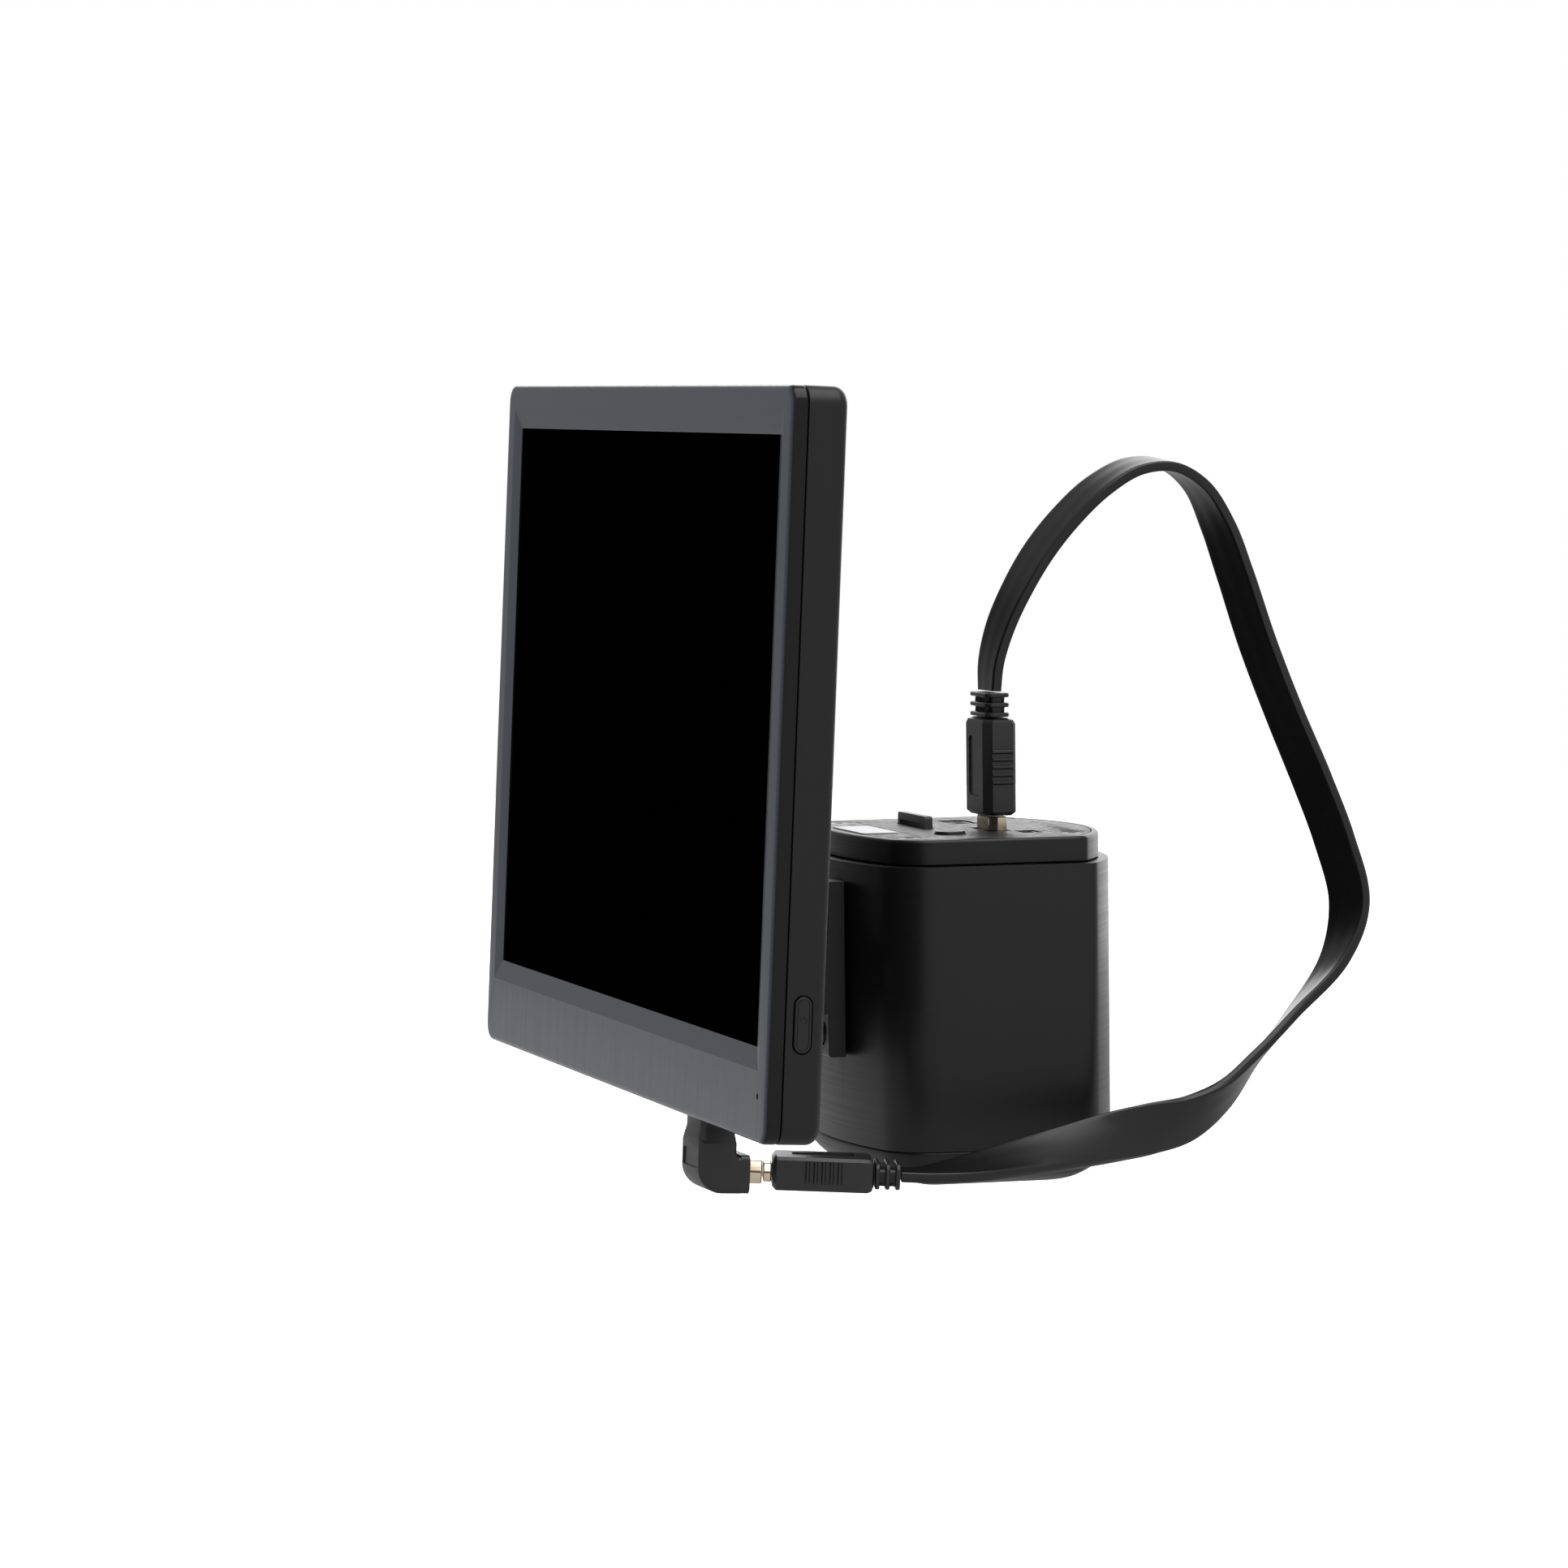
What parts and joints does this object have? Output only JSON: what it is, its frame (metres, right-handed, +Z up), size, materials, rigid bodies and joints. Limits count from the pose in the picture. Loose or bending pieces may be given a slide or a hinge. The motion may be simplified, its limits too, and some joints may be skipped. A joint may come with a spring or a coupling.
{
  "type": "video magnifier",
  "caption": "Video magnifier: a black camera head with a C-mount base and a wide monitor on a tilting friction hinge, joined by a flat HDMI cable.",
  "frame": {"origin": "centre of the C-mount opening, in the flat face of the base", "axes": "+Z up along the optical axis, the screen faces -Y, +X to the right of someone who looks at the screen"},
  "size_m": [0.2821, 0.1867, 0.2027],
  "materials": {
    "anodised_black": "fine brushed, black anodised",
    "port_plate_black": "fine leather texture, semi-gloss",
    "black_plastic": "satin",
    "bezel_slate": "smooth satin, slate grey",
    "rear_charcoal": "fine texture",
    "screen_glass": "glossy, black when off",
    "black_steel": "black oxide",
    "steel": "satin",
    "nickel": "bright nickel plate",
    "gold": "bright gold plate",
    "circuit_board": "solder mask",
    "plug_overmould": "fine matte texture",
    "cable_jacket": "satin",
    "bare_aluminium": "mill finish",
    "light_guide": "clear acrylic with white sheets",
    "filter_glass": "polished",
    "label_white": "matte film, blank",
    "white_plastic": "smooth",
    "sensor_black": "ceramic and glass"
  },
  "bodies": {
    "camera": {"camera_shell": "anodised_black", "base_cap": "anodised_black", "base_screw_1": "black_steel", "base_screw_2": "black_steel", "base_screw_3": "black_steel", "base_screw_4": "black_steel", "top_cap": "anodised_black", "port_plate": "port_plate_black", "plate_screw_1": "black_steel", "plate_screw_2": "black_steel", "plate_screw_3": "black_steel", "plate_screw_4": "black_steel", "label_plate": "label_white", "hdmi_socket": "nickel", "usb_a_socket": "nickel", "usb_a_tongue": "white_plastic", "mini_usb_socket": "nickel", "sd_socket": "nickel", "io_board": "circuit_board", "main_board": "circuit_board", "board_chassis": "bare_aluminium", "sensor_board": "circuit_board", "image_sensor": "sensor_black", "ir_filter": "filter_glass", "c_mount_ring": "steel", "hinge_arm": "anodised_black", "arm_screw_1": "black_steel", "arm_screw_2": "black_steel", "arm_screw_3": "black_steel", "arm_screw_4": "black_steel", "hinge_pin": "steel", "hinge_nut": "steel", "friction_washer_left": "steel", "friction_washer_right": "steel", "upper_plug_body": "plug_overmould", "upper_plug_shell": "gold", "upper_strain_relief": "plug_overmould", "ribbon_cable": "cable_jacket"},
    "monitor": {"monitor_bracket": "anodised_black", "monitor_screw_1": "black_steel", "monitor_screw_2": "black_steel", "monitor_screw_3": "black_steel", "monitor_screw_4": "black_steel", "rear_shell": "rear_charcoal", "front_bezel": "bezel_slate", "lcd_panel": "screen_glass", "backlight_unit": "light_guide", "driver_board": "circuit_board", "monitor_hdmi_socket": "nickel", "led_lens": "white_plastic", "adapter_body": "plug_overmould", "adapter_plug_shell": "gold", "adapter_collar": "gold", "lower_plug_body": "plug_overmould", "lower_plug_shell": "gold", "lower_strain_relief": "plug_overmould"},
    "camera_button": {"camera_button": "black_plastic"},
    "power_button": {"power_button": "black_plastic"},
    "sd_card": {"sd_card": "black_plastic"}
  },
  "joints": [
    {"name": "monitor_tilt", "type": "hinge", "parent": "camera", "child": "monitor", "pos_m": [0, -0.057, 0.053], "axis": [1, 0, 0], "range_deg": [-30, 20], "deforming": ["ribbon_cable"]},
    {"name": "camera_button_press", "type": "slide", "parent": "camera", "child": "camera_button", "axis": [0, 0, -1], "range_m": [0, 0.0006], "stiffness_N_per_m": 500, "springref_m": -0.0004},
    {"name": "power_button_press", "type": "slide", "parent": "monitor", "child": "power_button", "axis": [-1, 0, 0], "range_m": [0, 0.0005], "stiffness_N_per_m": 500, "springref_m": -0.0004},
    {"name": "sd_card_slide", "type": "slide", "parent": "camera", "child": "sd_card", "axis": [0, 0, 1], "range_m": [0, 0.03]}
  ]
}
